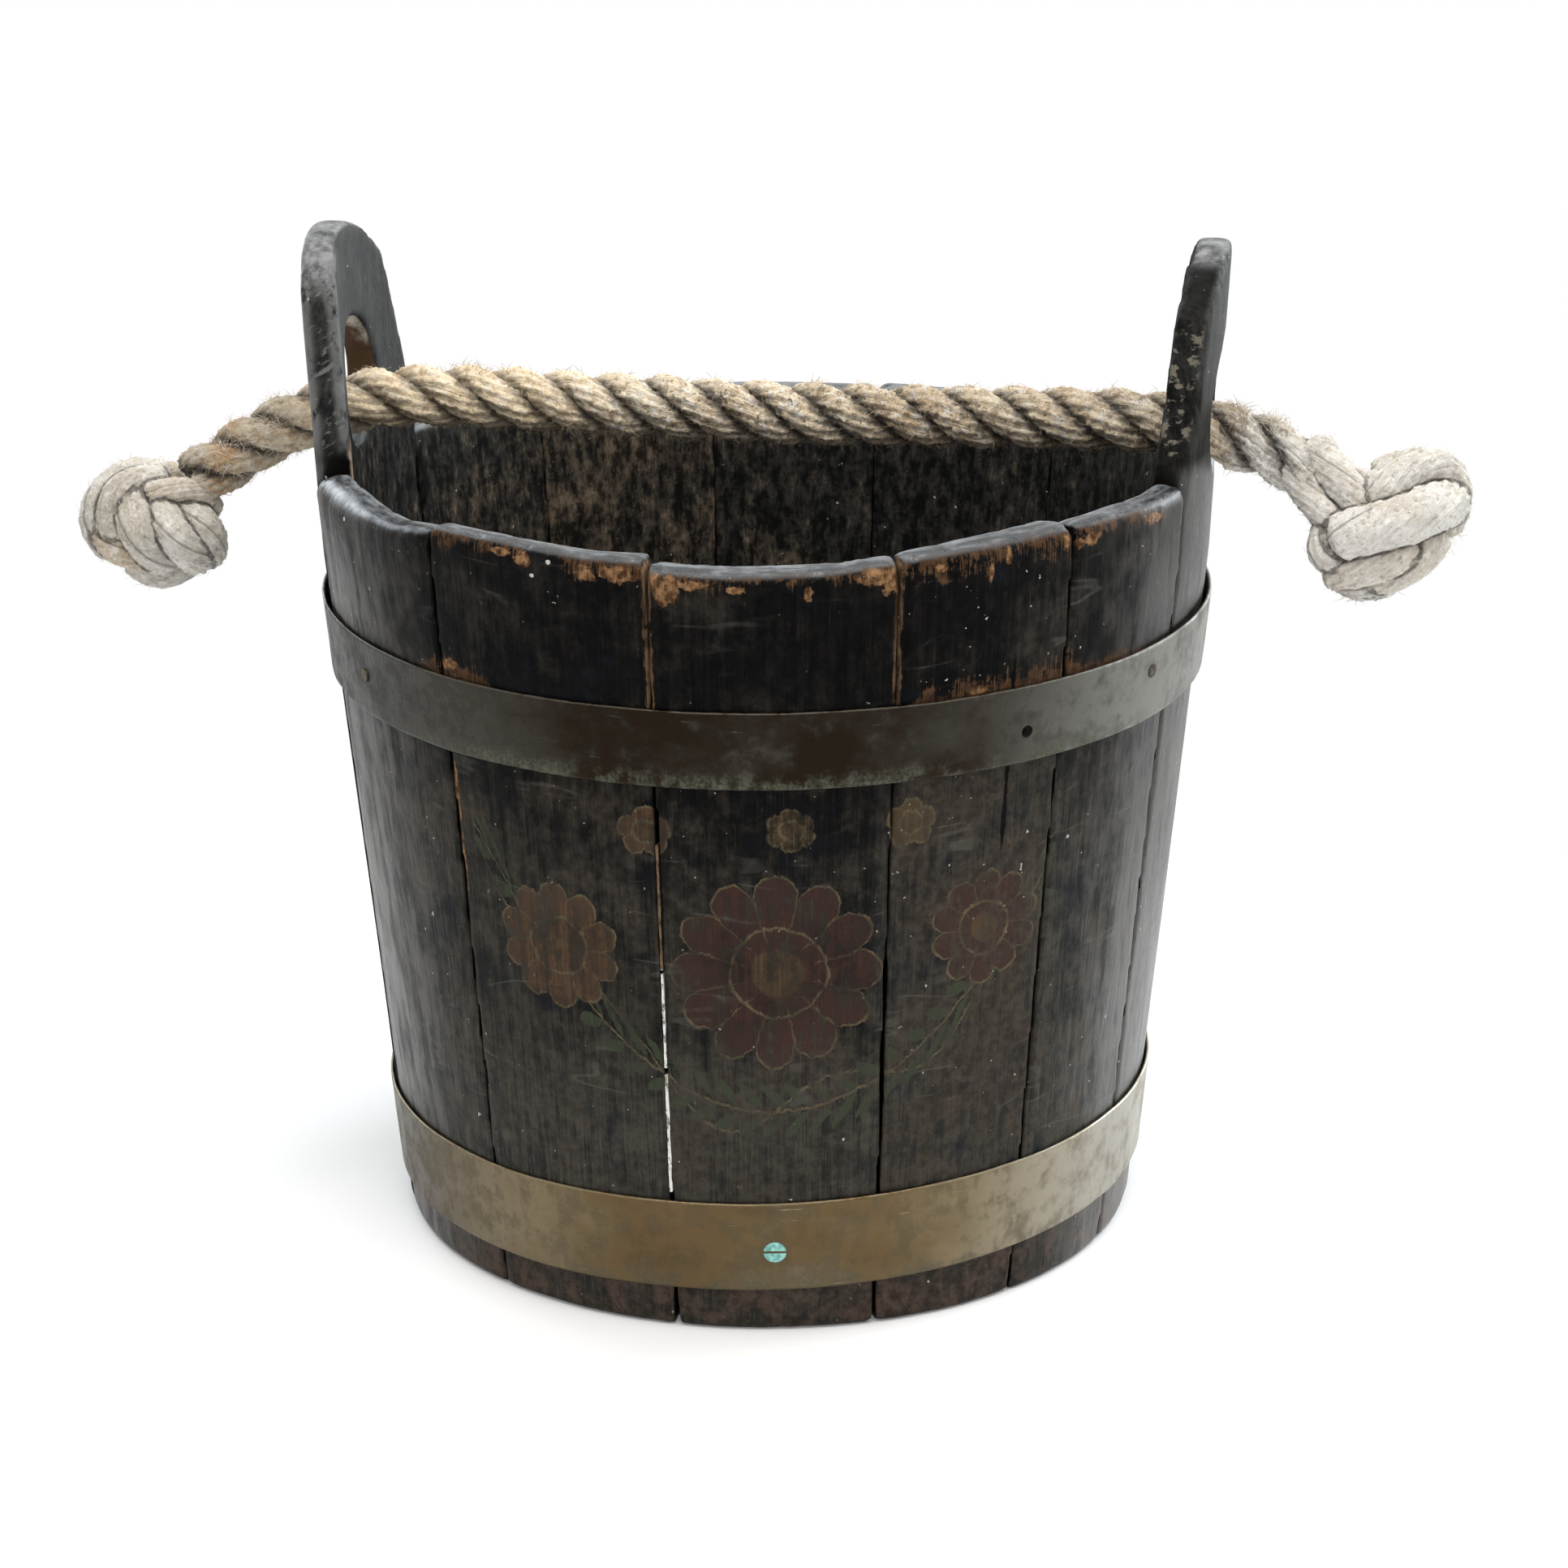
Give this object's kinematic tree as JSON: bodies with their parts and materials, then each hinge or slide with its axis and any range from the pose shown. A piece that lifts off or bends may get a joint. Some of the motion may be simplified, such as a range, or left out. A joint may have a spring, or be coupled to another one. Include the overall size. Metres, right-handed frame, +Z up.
{
  "type": "coopered bucket with rope handle",
  "caption": "Tapered coopered wooden bucket with brass hoops, two pierced ear staves and a thick rope handle held by stopper knots, for carrying water.",
  "frame": {"origin": "middle of the foot, on the surface it stands on", "axes": "+Z up along the bucket's axis, front faces -Y, the ears stand on the X axis"},
  "size_m": [0.5301, 0.3358, 0.375],
  "materials": {
    "painted_oak": "worn dark paint over oak",
    "base_oak": "dark bare oak",
    "brass_strip": "tarnished",
    "fastener_brass": "tarnished, with verdigris",
    "rope_fibre": "laid natural fibre, worn",
    "knot_fibre": "laid natural fibre, bleached"
  },
  "bodies": {
    "bucket": {"front_stave_1": "painted_oak", "front_stave_2": "painted_oak", "front_stave_3": "painted_oak", "front_stave_4": "painted_oak", "front_stave_5": "painted_oak", "back_stave_1": "painted_oak", "back_stave_2": "painted_oak", "back_stave_3": "painted_oak", "back_stave_4": "painted_oak", "back_stave_5": "painted_oak", "left_ear_stave": "painted_oak", "right_ear_stave": "painted_oak", "front_base_board": "base_oak", "middle_base_board": "base_oak", "back_base_board": "base_oak", "base_dowels": "base_oak", "upper_hoop": "brass_strip", "lower_hoop": "brass_strip", "upper_hoop_rivets": "fastener_brass", "lower_hoop_rivets": "fastener_brass", "hoop_screw": "fastener_brass", "upper_hoop_nails": "fastener_brass"},
    "handle": {"rope_handle": "rope_fibre", "left_stopper_knot": "knot_fibre", "right_stopper_knot": "knot_fibre"}
  },
  "joints": [
    {"name": "rope_lift", "type": "slide", "parent": "bucket", "child": "handle", "axis": [0, 0, 1], "range_m": [0, 0.019]}
  ]
}
